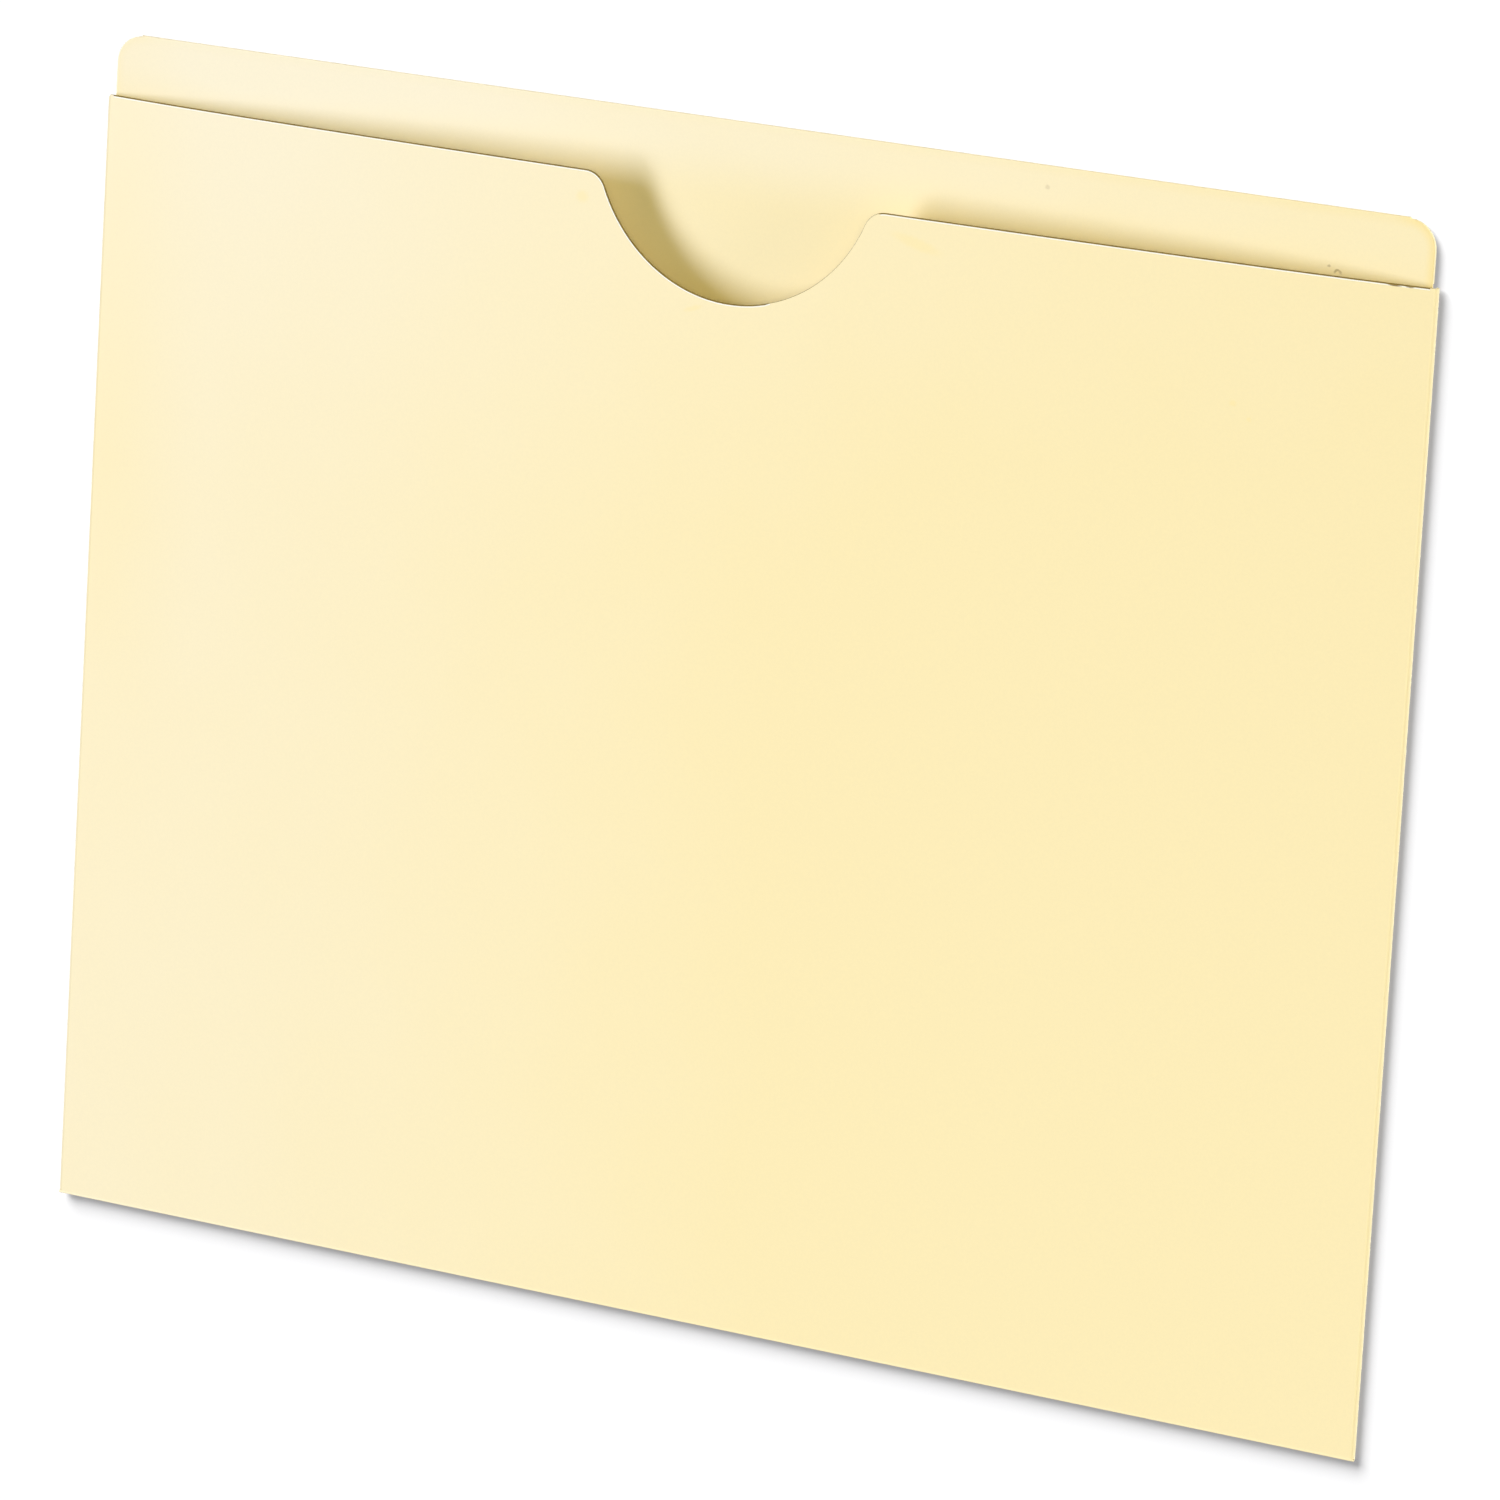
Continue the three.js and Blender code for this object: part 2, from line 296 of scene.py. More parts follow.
class JacketStudio(bpy.types.PropertyGroup):
    """Camera and light."""

    azimuth: angle("Azimuth", "Angle of the camera round the jacket", 29.2528)
    elevation: angle("Elevation", "Angle of the camera above the floor", 12.0547)
    roll: angle("Roll", "Turn of the camera about its own axis", 3.3648)
    distance: length("Distance", "From the camera to the point that it looks at", 2016.8 * MM)
    aim_x: length("Aim Across", "Point that the camera looks at, across the front", 7.599 * MM)
    aim_z: length("Aim Height", "Point that the camera looks at, above the floor", 117.939 * MM)
    lens: number("Lens", "Focal length in millimetres on a 36 mm sensor", 246.648)
    key_azimuth: angle("Key Azimuth", "Angle of the tall soft box round the jacket", -51.0)
    key_elevation: angle("Key Elevation", "Angle of the tall soft box's middle above the floor", -4.0)
    key_width: angle("Key Width", "Angle that the tall soft box takes up from side to side", 14.0)
    key_height: angle("Key Height", "Angle that the tall soft box takes up from end to end", 44.0)
    key: number("Key", "Strength of the tall soft box at the left", 1.324)
    front: number("Front", "Strength of the soft light at the camera", 0.28)
    side: number("Side", "Strength of the soft light at the right side", 0.9)
    rear: number("Rear", "Strength of the soft light behind the jacket", 0.92)
    top: number("Top", "Strength of the soft light above", 0.28)
    foot: number("Foot", "Strength of the light that the floor throws back on the bottom fold", 0.2)
    fill: number("Fill", "Strength of the even light from all round", 0.18)
    floor_lamp: number("Floor Lamp", "Strength of the light above that only the floor takes", 6.1)
    board_lamp: number("Board Lamp", "Strength of the light at the left that only the board takes", 10.05)
    key_tint: colour("Key Tint", "Colour of the lights at the left and at the right", (0.711, 0.757, 1.0))
    fill_tint: colour("Fill Tint", "Colour of the front light and of the even light", (1.0, 0.89, 0.41))
    cool_tint: colour("Cool Tint", "Colour of the lights behind, above and below", (0.88, 0.9, 1.0))


def bow(sizes, x, z):
    """How far the front panel stands forward of its side folds."""
    across = min(abs(x) / SIDE_CREASE, 1.0)
    arch = sizes.mouth_arch * (1 - across**2)
    shoulder = sizes.mouth_shoulder * (1 - across**sizes.shoulder_power)
    return (arch + shoulder) * z / MOUTH


def notch_lines(sizes):
    """Height of the notch's centre above the mouth, where its corners start, and how far its arc turns."""
    rise = sizes.notch_radius - sizes.notch_depth
    reach = sizes.notch_radius + sizes.notch_corner
    drop = rise + sizes.notch_corner
    corner_x = math.sqrt(reach**2 - drop**2)
    return rise, corner_x, math.atan2(corner_x, drop)


def mouth_half(sizes):
    """Points (x, z) of the mouth edge from the right-hand side fold to the bottom of the notch."""
    rise, corner_x, turn = notch_lines(sizes)
    points = [(SIDE_CREASE, MOUTH)]
    for step in range(STRAIGHT_STEPS):
        points.append((BACK_EDGE + (corner_x - BACK_EDGE) * step / STRAIGHT_STEPS, MOUTH))
    for step in range(CORNER_STEPS):
        turned = turn * step / CORNER_STEPS
        x = corner_x - sizes.notch_corner * math.sin(turned)
        points.append((x, MOUTH - sizes.notch_corner * (1 - math.cos(turned))))
    for step in range(NOTCH_STEPS + 1):
        turned = turn * (1 - step / NOTCH_STEPS)
        x = sizes.notch_radius * math.sin(turned)
        points.append((x, MOUTH + rise - sizes.notch_radius * math.cos(turned)))
    return points


def edge_normals(outline):
    """Outward unit normal of each edge of an anticlockwise outline."""
    normals = []
    for here, there in zip(outline, outline[1:] + outline[:1]):
        along = Vector((there[0] - here[0], there[1] - here[1])).normalized()
        normals.append(Vector((along.y, -along.x)))
    return normals


def shifted_outline(outline, cut, distance):
    """The outline with its cut edges moved out by a distance and its joined edges left where they are."""
    normals = edge_normals(outline)
    moved = []
    for i, point in enumerate(outline):
        before, after = normals[i - 1], normals[i]
        out_before = distance if cut[i - 1] else 0.0
        out_after = distance if cut[i] else 0.0
        crossing = before.x * after.y - before.y * after.x
        here = Vector(point[:2])
        if abs(crossing) < NEARLY_STRAIGHT:
            moved.append(here + after * max(out_before, out_after, key=abs))
            continue
        level_before = here.dot(before) + out_before
        level_after = here.dot(after) + out_after
        x = (level_before * after.y - level_after * before.y) / crossing
        z = (before.x * level_after - after.x * level_before) / crossing
        moved.append(Vector((x, z)))
    return moved


class SheetMesh:
    """Collects the points, faces and finishes of one piece of sheet."""

    def __init__(self):
        self.points = []
        self.faces = []
        self.finishes = []

    def add_points(self, points):
        """Takes in points and gives their places in the list."""
        first = len(self.points)
        self.points.extend(points)
        return list(range(first, len(self.points)))

    def add_face(self, corners, finish):
        """Takes in a face, unless too few of its corners differ."""
        distinct = [c for i, c in enumerate(corners) if c != corners[i - 1]]
        if len(distinct) > 2:
            self.faces.append(distinct)
            self.finishes.append(finish)

    def add_band(self, lower, upper, finish, closed=True, skip=()):
        """Quads between two rows of points."""
        count = len(lower) if closed else len(lower) - 1
        for i in range(count):
            if i in skip:
                continue
            j = (i + 1) % len(lower)
            self.add_face([lower[i], lower[j], upper[j], upper[i]], finish)

    def add_rim(self, outline, cut, near, far, bulge):
        """Closes the space between the near and far loops of an outline; cut edges round out a little."""
        pushed = shifted_outline(outline, cut, bulge)
        loops = [near]
        for share in ROUND_SHARES:
            points = []
            for i, (x, z) in enumerate(pushed):
                y = self.points[near[i]][1] * (1 - share) + self.points[far[i]][1] * share
                points.append((x, y, z))
            loops.append(self.add_points(points))
        loops.append(far)
        for front, behind in zip(loops, loops[1:]):
            self.add_band(behind, front, CUT_EDGE)

    def build(self, name, finishes):
        """Makes the object, shaded smooth across gentle edges."""
        mesh = bpy.data.meshes.new(name)
        mesh.from_pydata(self.points, [], self.faces)
        for material in finishes:
            mesh.materials.append(material)
        mesh.polygons.foreach_set("material_index", self.finishes)
        mesh.polygons.foreach_set("use_smooth", [True] * len(self.faces))
        shell = bmesh.new()
        shell.from_mesh(mesh)
        bmesh.ops.remove_doubles(shell, verts=shell.verts, dist=WELD)
        bmesh.ops.recalc_face_normals(shell, faces=shell.faces)
        shell.to_mesh(mesh)
        shell.free()
        mesh.set_sharp_from_angle(angle=SHARP_ANGLE)
        piece = bpy.data.objects.new(name, mesh)
        bpy.context.scene.collection.objects.link(piece)
        return piece


def front_half(sizes, side, finishes):
    """One half of the bowed front panel, from a side fold to the middle of the notch."""
    half = [(side * x, z) for x, z in mouth_half(sizes)]
    columns = half if side < 0 else half[::-1]
    sheet = SheetMesh()

    def wave(x, z):
        """Height of the slow waves, which die out towards the folds."""
        calm = min(bow(sizes, x, z) / (sizes.mouth_arch / 2), 1.0)
        return sizes.waviness * calm * noise.noise(Vector((x * WAVE_RATE, z * WAVE_RATE, WAVE_LAYER)))

    def face_y(x, z):
        """Where the front face stands, from front to back."""
        return FOLD_FRONT - bow(sizes, x, z) + wave(x, z)

    near, far, slopes = [], [], []
    for i, (x, top) in enumerate(columns):
        left = columns[max(i - 1, 0)]
        right = columns[min(i + 1, len(columns) - 1)]
        slopes.append((right[1] - left[1]) / (right[0] - left[0]))
        steepness = math.sqrt(1 + slopes[i] ** 2)
        # Painted shade and highlight along the mouth: a dark strip at the top and a pale strip below it, the
        # dark strip narrow on the steep right side of the notch
        shown = 1.0 if slopes[i] < STEEP else sizes.faint_shade_line
        burr = top - sizes.edge_shade_line * shown * steepness
        line = burr - sizes.edge_highlight * steepness
        rise = line - BOTTOM_CREASE
        heights = [BOTTOM_CREASE + rise * row / FRONT_ROWS for row in range(FRONT_ROWS + 1)]
        heights.extend((burr, top))
        near.append(sheet.add_points([(x, face_y(x, z), z) for z in heights]))
        far.append(sheet.add_points([(x, face_y(x, z) + PAPER, z) for z in heights]))
    for i in range(len(columns) - 1):
        finishes_up = [FACE] * (FRONT_ROWS + 2)
        if abs(columns[i][0] + columns[i + 1][0]) / 2 < BACK_EDGE:
            # The pale strip takes the painted highlight except on the steep right side of the notch; the top
            # strip takes the dark painted shade
            gets_highlight = (slopes[i] + slopes[i + 1]) / 2 < STEEP
            finishes_up[FRONT_ROWS:] = [EDGE_HIGHLIGHT if gets_highlight else FACE, CUT_EDGE]
        for row, finish in enumerate(finishes_up):
            above = row + 1
            sheet.add_face([near[i][row], near[i + 1][row], near[i + 1][above], near[i][above]], finish)
            # Inner faces take the darker inner finish, a painted shade
            sheet.add_face([far[i][row], far[i][above], far[i + 1][above], far[i + 1][row]], INNER_FACE)

    def loop(grid):
        """The rim of a grid of points: bottom, right, top and left."""
        last = len(columns) - 1
        bottom = [grid[i][0] for i in range(last)]
        right = grid[last][:-1]
        top = [grid[i][-1] for i in range(last, 0, -1)]
        left = grid[0][:0:-1]
        return bottom + right + top + left

    near_loop, far_loop = loop(near), loop(far)
    outline = [(sheet.points[i][0], sheet.points[i][2]) for i in near_loop]
    joined = len(columns) - 1 + FRONT_ROWS + 2
    cut = [joined <= i < joined + len(columns) - 1 for i in range(len(outline))]
    sheet.add_rim(outline, cut, near_loop, far_loop, sizes.edge_bulge)
    name = "front_left_half" if side < 0 else "front_right_half"
    piece = sheet.build(name, finishes)
    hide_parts("front_panel")
    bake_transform(piece)


def rounded_outline(corners):
    """Points of an anticlockwise outline whose corners are all convex, and which of its edges are cut.

    A corner is (x, z, radius, joined), and joined says whether the edge after it meets a neighbour."""
    outline, cut = [], []
    for i, (x, z, radius, joined) in enumerate(corners):
        corner = Vector((x, z))
        to_before = (Vector(corners[i - 1][:2]) - corner).normalized()
        to_after = (Vector(corners[(i + 1) % len(corners)][:2]) - corner).normalized()
        if radius > 0:
            half_angle = to_before.angle(to_after) / 2
            centre = corner + (to_before + to_after).normalized() * radius / math.sin(half_angle)
            reach = radius / math.tan(half_angle)
            start = corner + to_before * reach - centre
            turn = math.pi - 2 * half_angle
            for step in range(CORNER_STEPS + 1):
                turned = start.copy()
                turned.rotate(Matrix.Rotation(turn * step / CORNER_STEPS, 2))
                outline.append(tuple(centre + turned))
                cut.append(True)
        else:
            outline.append((x, z))
            cut.append(True)
        cut[-1] = not joined
    return outline, cut


def mirrored(corners):
    """The same corners on the other side of the jacket, kept anticlockwise."""
    flipped = [(-x, z, radius) for x, z, radius, _ in corners][::-1]
    joined = [corners[i - 1][3] for i in range(len(corners))][::-1]
    return [(*place, edge) for place, edge in zip(flipped, joined)]


def flat_layer(name, corners, node, sizes, finishes):
    """A flat layer as thick as its node in the frame, with a strip along its cut edges for a painted
    highlight.
    """
    low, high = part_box(node)
    outline, cut = rounded_outline(corners)
    sheet = SheetMesh()
    near = sheet.add_points([(x, low.y, z) for x, z in outline])
    far = sheet.add_points([(x, high.y, z) for x, z in outline])
    inner = shifted_outline(outline, cut, -sizes.edge_highlight)
    near_inner = sheet.add_points([(x, low.y, z) for x, z in inner])
    far_inner = sheet.add_points([(x, high.y, z) for x, z in inner])
    uncut = [i for i, is_cut in enumerate(cut) if not is_cut]
    sheet.add_band(near, near_inner, EDGE_HIGHLIGHT, skip=uncut)
    sheet.add_band(far_inner, far, EDGE_HIGHLIGHT, skip=uncut)
    sheet.add_face(near_inner, FACE)
    sheet.add_face(far_inner[::-1], FACE)
    sheet.add_rim(outline, cut, near, far, sizes.edge_bulge)
    piece = sheet.build(name, finishes)
    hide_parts(node)
    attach(piece, "back")
    return piece


def half_tube(name, node, along, start, end, centre, first_turn, finishes, worn=0.0):
    """A folded strip: a half tube of paper along x or z, round a centre line in the other two axes.

    Worn is how far the far end is rubbed back at the first turn, and less and less towards the last."""
    low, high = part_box(node)
    outer = (high.y - low.y) / 2
    sheet = SheetMesh()
    rings = []
    for radius in (outer, outer - PAPER):
        rows = []
        for row in range(FOLD_ROWS + 1):
            place = start + (end - start) * row / FOLD_ROWS
            points = []
            for step in range(FOLD_STEPS + 1):
                turned = first_turn + math.pi * step / FOLD_STEPS
                out = centre[0] + radius * math.cos(turned)
                back = centre[1] + radius * math.sin(turned)
                rubbed = worn * math.cos(math.pi / 2 * step / FOLD_STEPS) if row == FOLD_ROWS else 0.0
                reach = place - rubbed
                points.append((out, back, reach) if along == "z" else (reach, back, out))
            rows.append(sheet.add_points(points))
        rings.append(rows)
    outer_rows, inner_rows = rings
    for row in range(FOLD_ROWS):
        sheet.add_band(outer_rows[row], outer_rows[row + 1], FACE, closed=False)
        sheet.add_band(inner_rows[row + 1], inner_rows[row], FACE, closed=False)
    sheet.add_band(inner_rows[0], outer_rows[0], FACE, closed=False)
    sheet.add_band(outer_rows[-1], inner_rows[-1], FACE, closed=False)
    for row in range(FOLD_ROWS):
        first = [outer_rows[row][0], outer_rows[row + 1][0], inner_rows[row + 1][0], inner_rows[row][0]]
        last = [outer_rows[row][-1], inner_rows[row][-1], inner_rows[row + 1][-1], outer_rows[row + 1][-1]]
        sheet.add_face(first, FACE)
        sheet.add_face(last, FACE)
    piece = sheet.build(name, finishes)
    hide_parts(node)
    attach(piece, "back")


def add_node(tree, kind, inputs=None, **settings):
    """Adds a shader node, sets its values and links its inputs."""
    made = tree.nodes.new(kind)
    for key, value in settings.items():
        setattr(made, key, value)
    for key, value in (inputs or {}).items():
        if isinstance(value, bpy.types.NodeSocket):
            tree.links.new(value, made.inputs[key])
        else:
            made.inputs[key].default_value = value
    return made


def ramp(tree, value, low, high, bottom=0.0, top=1.0):
    """Goes smoothly from bottom to top as the value goes from low to high."""
    inputs = {"Value": value, "From Min": low, "From Max": high, "To Min": bottom, "To Max": top}
    return add_node(tree, "ShaderNodeMapRange", inputs, interpolation_type="SMOOTHSTEP").outputs["Result"]


def math_node(tree, operation, first, second, clamp=False):
    """One step of arithmetic."""
    inputs = {0: first, 1: second}
    return add_node(tree, "ShaderNodeMath", inputs, operation=operation, use_clamp=clamp).outputs[0]


def vector_node(tree, operation, inputs):
    """One step of arithmetic on a vector."""
    return add_node(tree, "ShaderNodeVectorMath", inputs, operation=operation)


def mixed(tree, share, first, second, blend="MIX"):
    """Two colours mixed by a share."""
    mixer = add_node(tree, "ShaderNodeMix", data_type="RGBA", blend_type=blend)
    for socket, value in zip((mixer.inputs[0], mixer.inputs[6], mixer.inputs[7]), (share, first, second)):
        if isinstance(value, bpy.types.NodeSocket):
            tree.links.new(value, socket)
        elif isinstance(value, float):
            socket.default_value = value
        else:
            socket.default_value = (*value, 1.0)
    return mixer.outputs[2]


def grain(tree, place, scale, detail=2.0, roughness=0.5):
    """Fine or cloudy unevenness, about 0.5 on average."""
    inputs = {"Vector": place, "Scale": scale, "Detail": detail, "Roughness": roughness}
    return add_node(tree, "ShaderNodeTexNoise", inputs).outputs["Fac"]


def add_relief(tree, shader, height, strength, distance):
    """Raises fine relief on a surface."""
    inputs = {"Strength": strength, "Distance": distance, "Height": height}
    relief = add_node(tree, "ShaderNodeBump", inputs)
    tree.links.new(relief.outputs["Normal"], shader.inputs["Normal"])


def new_finish(name, roughness, specular):
    """An empty finish with its shader."""
    material = bpy.data.materials.new(name)
    material.use_nodes = True
    tree = material.node_tree
    shader = tree.nodes["Principled BSDF"]
    shader.inputs["Roughness"].default_value = roughness
    shader.inputs["Specular IOR Level"].default_value = specular
    place = add_node(tree, "ShaderNodeTexCoord").outputs["Object"]
    return material, tree, shader, place


def marked(tree, place, base, marks, tone):
    """The base colour with small worn marks on it, whose outlines are a little ragged."""
    inputs = {"Vector": place, "Scale": RAGGED_OUTLINES, "Detail": 2.0}
    rough = add_node(tree, "ShaderNodeTexNoise", inputs).outputs["Color"]
    centred = vector_node(tree, "SUBTRACT", {0: rough, 1: (0.5, 0.5, 0.5)}).outputs[0]
    shift = vector_node(tree, "SCALE", {0: centred, "Scale": RAGGED_REACH}).outputs[0]
    ragged = vector_node(tree, "ADD", {0: place, 1: shift}).outputs[0]
    for x, z, half_width, half_height, turn, strength in marks:
        inputs = {
            "Vector": ragged,
            "Location": (x * MM, 0.0, z * MM),
            "Rotation": (0.0, math.radians(turn), 0.0),
            "Scale": (half_width * MM, 1.0, half_height * MM),
        }
        near = add_node(tree, "ShaderNodeMapping", inputs, vector_type="TEXTURE").outputs[0]
        away = vector_node(tree, "LENGTH", {0: near}).outputs["Value"]
        base = mixed(tree, ramp(tree, away, *MARK_FADE, strength, 0.0), base, tuple(tone))
    return base


def edge_shade_share(tree, axes, share):
    """How much painted shade a point gets: along the tab's top, sides and corners, and most at the right."""
    sizes = bpy.context.scene.jacket_sizes
    corner = sizes.tab_corner
    off_middle = math_node(tree, "ABSOLUTE", axes.outputs["X"], 0.0)
    aside = math_node(tree, "SUBTRACT", off_middle, BACK_EDGE - corner)
    above = math_node(tree, "SUBTRACT", axes.outputs["Z"], TAB_CREASE - corner)
    inputs = {"X": math_node(tree, "MAXIMUM", aside, 0.0), "Z": math_node(tree, "MAXIMUM", above, 0.0)}
    out = add_node(tree, "ShaderNodeCombineXYZ", inputs).outputs[0]
    away = vector_node(tree, "LENGTH", {0: out}).outputs["Value"]
    near_edge = ramp(tree, away, corner - sizes.edge_shade_width, corner)
    side = ramp(tree, axes.outputs["X"], *EDGE_SHADE_ACROSS, share)
    past_corner = ramp(tree, aside, *EDGE_SHADE_PAST_CORNER)
    return math_node(tree, "MULTIPLY", near_edge, math_node(tree, "MULTIPLY", side, past_corner))


def manila_finish(
    name, colours, depth=0.0, paler=PAINTED_LIGHT_UPWARD, level=(1.0, 1.0), smears=(), specks=(), rubbed=0.0
):
    """Manila: painted light that makes it paler to the left and towards the top and warmer to the right,
    faint clouds, small marks, fine fibres and a dull surface.

    Depth makes the whole sheet warmer. Paler is the height where the painted light starts to make it paler,
    where it stops, and by how much. Level is a painted shade: how light the sheet is at its left side and
    from its middle to the right. Rubbed is how strongly the painted shade along the tab's edges shows at the
    right."""
    material, tree, shader, place = new_finish(name, roughness=0.75, specular=0.25)
    axes = add_node(tree, "ShaderNodeSeparateXYZ", {"Vector": place})
    # Painted light: paler to the left and towards the top, warmer to the right
    across = ramp(tree, axes.outputs["X"], *PAINTED_LIGHT_ACROSS)
    start, end, most = paler
    painted_lift = ramp(tree, axes.outputs["Z"], start, end, 0.0, most)
    held = ramp(tree, axes.outputs["X"], *PAINTED_LIGHT_HELD_ACROSS)
    warm = math_node(tree, "SUBTRACT", across, math_node(tree, "MULTIPLY", painted_lift, held))
    # Painted shade: warmer at the left side, growing towards the top
    aside = ramp(tree, axes.outputs["X"], *PAINTED_SHADE_LEFT_SIDE)
    higher = ramp(tree, axes.outputs["Z"], *PAINTED_SHADE_LEFT_HEIGHT)
    warm = math_node(tree, "ADD", warm, math_node(tree, "MULTIPLY", aside, higher))
    clouds = grain(tree, place, CLOUDS, 3.0)
    drift = math_node(tree, "MULTIPLY", math_node(tree, "SUBTRACT", clouds, 0.5), CLOUD_DRIFT)
    warm = math_node(tree, "ADD", warm, drift)
    warm = math_node(tree, "ADD", warm, depth, clamp=True)
    base = mixed(tree, warm, tuple(colours.manila_pale), tuple(colours.manila_warm))
    # Painted shade: a warmer band along the tab's edges
    if rubbed:
        base = mixed(tree, edge_shade_share(tree, axes, rubbed), base, tuple(colours.manila_edge_shade))
    fibres = grain(tree, place, FIBRES, 3.0, 0.6)
    shade = ramp(tree, fibres, *MIDDLE, *FIBRE_SHADE)
    # Painted shade: the level makes the sheet as light as given at its left side and from its middle on
    shade = math_node(tree, "MULTIPLY", shade, ramp(tree, axes.outputs["X"], *PAINTED_SHADE_ACROSS, *level))
    toned = mixed(tree, 1.0, base, shade, "MULTIPLY")
    if smears:
        toned = marked(tree, place, toned, smears, colours.smear)
    if specks:
        toned = marked(tree, place, toned, specks, colours.speck)
    tree.links.new(toned, shader.inputs["Base Color"])
    dullness = ramp(tree, fibres, *MIDDLE, *MANILA_ROUGHNESS)
    tree.links.new(dullness, shader.inputs["Roughness"])
    add_relief(tree, shader, fibres, strength=0.25, distance=0.02 * MM)
    return material


def edge_finish(name, tone, roughness, uneven, fibres=(), fibre_tone=None):
    """A cut edge's painted shade or the painted highlight beside it: fine unevenness, and torn fibres in
    places.
    """
    material, tree, shader, place = new_finish(name, roughness, specular=0.2)
    grains = grain(tree, place, EDGE_GRAINS, 2.0)
    shade = ramp(tree, grains, *NARROW_MIDDLE, 1.0 - uneven, 1.0)
    toned = mixed(tree, 1.0, tuple(tone), shade, "MULTIPLY")
    if fibres:
        toned = marked(tree, place, toned, fibres, fibre_tone)
    tree.links.new(toned, shader.inputs["Base Color"])
    add_relief(tree, shader, grains, strength=0.3, distance=0.02 * MM)
    return material


def glue_finish(name, colours):
    """Dried glue: a thin amber film with a slight gloss and small waves."""
    material, tree, shader, place = new_finish(name, roughness=0.4, specular=0.5)
    pools = grain(tree, place, GLUE_POOLS, 3.0)
    thick = tuple(share * THICK_GLUE for share in colours.glue)
    toned = mixed(tree, ramp(tree, pools, *MIDDLE), tuple(colours.glue), thick)
    tree.links.new(toned, shader.inputs["Base Color"])
    gloss = ramp(tree, pools, *MIDDLE, *GLUE_ROUGHNESS)
    tree.links.new(gloss, shader.inputs["Roughness"])
    add_relief(tree, shader, pools, strength=0.4, distance=0.05 * MM)
    return material


def finish_named(name, colours):
    """The finish with that name, made when it is first asked for."""
    makers = {
        "manila_paper": lambda: manila_finish(name, colours),
        # Painted shade: darker, most at the left side; the smears are real marks
        "front_manila": lambda: manila_finish(
            name, colours, depth=0.12, level=(0.95, 0.967), smears=FRONT_SMEARS
        ),
        # Painted shade: the inner faces darker than the paper
        "shaded_inner_manila": lambda: manila_finish(name, colours, depth=0.12, level=(0.82, 0.82)),
        # Painted shade: a little darker, paler only above the band over the mouth, and warmer along the tab's
        # edges; the specks are real
        "back_manila": lambda: manila_finish(
            name, colours, paler=PAINTED_LIGHT_UPWARD_TAB, level=(0.96, 0.96), specks=TAB_SPECKS, rubbed=0.8
        ),
        # Painted shade: a little warmer on folds and cut edges
        "shaded_fold_manila": lambda: manila_finish(name, colours, depth=0.15),
        # Painted shade: the side folds warmer, the left one darker
        "shaded_side_manila": lambda: manila_finish(name, colours, depth=0.4, level=(0.84, 1.0)),
        # Painted highlight along the mouth, with real torn fibres
        "mouth_highlight_and_fibres": lambda: edge_finish(
            name, colours.edge_highlight, roughness=0.6, uneven=0.03, fibres=TORN_FIBRES, fibre_tone=colours.speck
        ),
        # Painted highlight along cut edges
        "painted_edge_highlight": lambda: edge_finish(name, colours.edge_highlight, roughness=0.6, uneven=0.03),
        # Painted shade on the front's cut edges
        "cut_edge_shade": lambda: edge_finish(name, colours.cut_edge_shade, roughness=0.8, uneven=0.2),
        "glue_film": lambda: glue_finish(name, colours),
    }
    return bpy.data.materials.get(name) or makers[name]()


def sheet_finishes(colours, face="manila_paper", line="painted_edge_highlight", edge="shaded_fold_manila"):
    """Finishes of a piece of sheet: its faces, the strip along its cut edges for a painted highlight, and the
    cut edges.
    """
    return [finish_named(name, colours) for name in (face, line, edge)]


class JACKET_OT_front(bpy.types.Operator):
    """Build the two halves of the bowed front panel, with the thumb notch between them"""

    bl_idname = "jacket.front"
    bl_label = "Front Panel"

    def execute(self, context):
        sizes = context.scene.jacket_sizes
        colours = context.scene.jacket_colours
        # Painted highlight along the mouth and painted shade on its cut edge
        finishes = sheet_finishes(colours, face="front_manila", line="mouth_highlight_and_fibres", edge="cut_edge_shade")
        # Painted shade: the darker finish of the inner faces
        finishes.append(finish_named("shaded_inner_manila", colours))
        for side in (-1, 1):
            front_half(sizes, side, finishes)
        return {"FINISHED"}


class JACKET_OT_back(bpy.types.Operator):
    """Build the back panel, whose upper end is the full-width tab"""

    bl_idname = "jacket.back"
    bl_label = "Back Panel"

    def execute(self, context):
        sizes = context.scene.jacket_sizes
        # The back's finish is painted a little darker, with painted shade along the tab's edges
        finishes = sheet_finishes(context.scene.jacket_colours, face="back_manila", line="back_manila")
        corners = [
            (-BACK_EDGE, BOTTOM_CREASE, 0.0, True),
            (BACK_EDGE, BOTTOM_CREASE, 0.0, False),
            (BACK_EDGE, TAB_CREASE, sizes.tab_corner, True),
            (-BACK_EDGE, TAB_CREASE, sizes.tab_corner, False),
        ]
        piece = flat_layer("back_sheet", corners, "back_panel", sizes, finishes)
        return {"FINISHED"}


